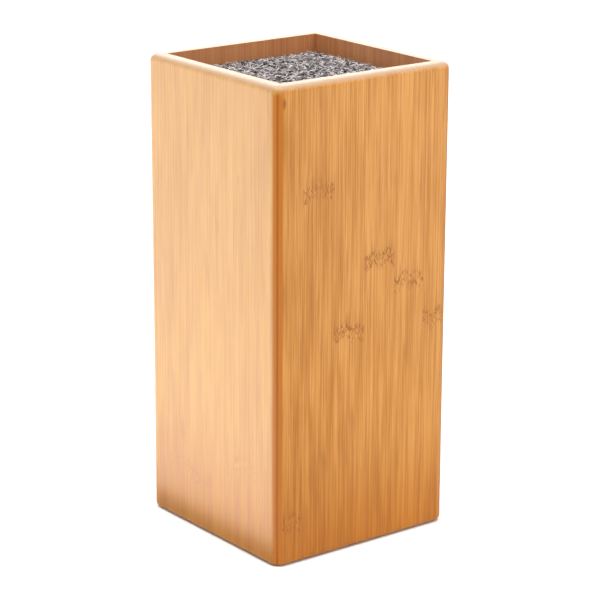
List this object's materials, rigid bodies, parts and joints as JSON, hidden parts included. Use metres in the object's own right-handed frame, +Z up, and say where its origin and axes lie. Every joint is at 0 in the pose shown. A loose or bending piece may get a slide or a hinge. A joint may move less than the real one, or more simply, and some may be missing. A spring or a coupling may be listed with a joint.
{
  "type": "knife block",
  "caption": "Upright square knife block of laminated bamboo boards, open at the top and filled with a lift-out insert of grey plastic bristles that blades push into.",
  "frame": {"origin": "centre of the block's footprint, on the surface that it stands on", "axes": "+Z up; -Y out of the front board; +X out of the right board"},
  "size_m": [0.1, 0.1, 0.222],
  "materials": {
    "bamboo": "satin",
    "bamboo_base": "matte",
    "rubber_feet": "matte",
    "tray_plastic": "satin",
    "bristles": "satin"
  },
  "bodies": {
    "box": {"front_board": "bamboo", "right_board": "bamboo", "back_board": "bamboo", "left_board": "bamboo", "base_board": "bamboo_base", "foot_front_left": "rubber_feet", "foot_front_right": "rubber_feet", "foot_back_left": "rubber_feet", "foot_back_right": "rubber_feet"},
    "bristle_insert": {"insert_tray": "tray_plastic", "bristle_tuft_1_1": "bristles", "bristle_tuft_1_2": "bristles", "bristle_tuft_1_3": "bristles", "bristle_tuft_1_4": "bristles", "bristle_tuft_2_1": "bristles", "bristle_tuft_2_2": "bristles", "bristle_tuft_2_3": "bristles", "bristle_tuft_2_4": "bristles", "bristle_tuft_3_1": "bristles", "bristle_tuft_3_2": "bristles", "bristle_tuft_3_3": "bristles", "bristle_tuft_3_4": "bristles", "bristle_tuft_4_1": "bristles", "bristle_tuft_4_2": "bristles", "bristle_tuft_4_3": "bristles", "bristle_tuft_4_4": "bristles"}
  },
  "joints": [
    {"name": "insert_lift", "type": "slide", "parent": "box", "child": "bristle_insert", "axis": [0, 0, 1], "range_m": [0, 0.217]}
  ]
}
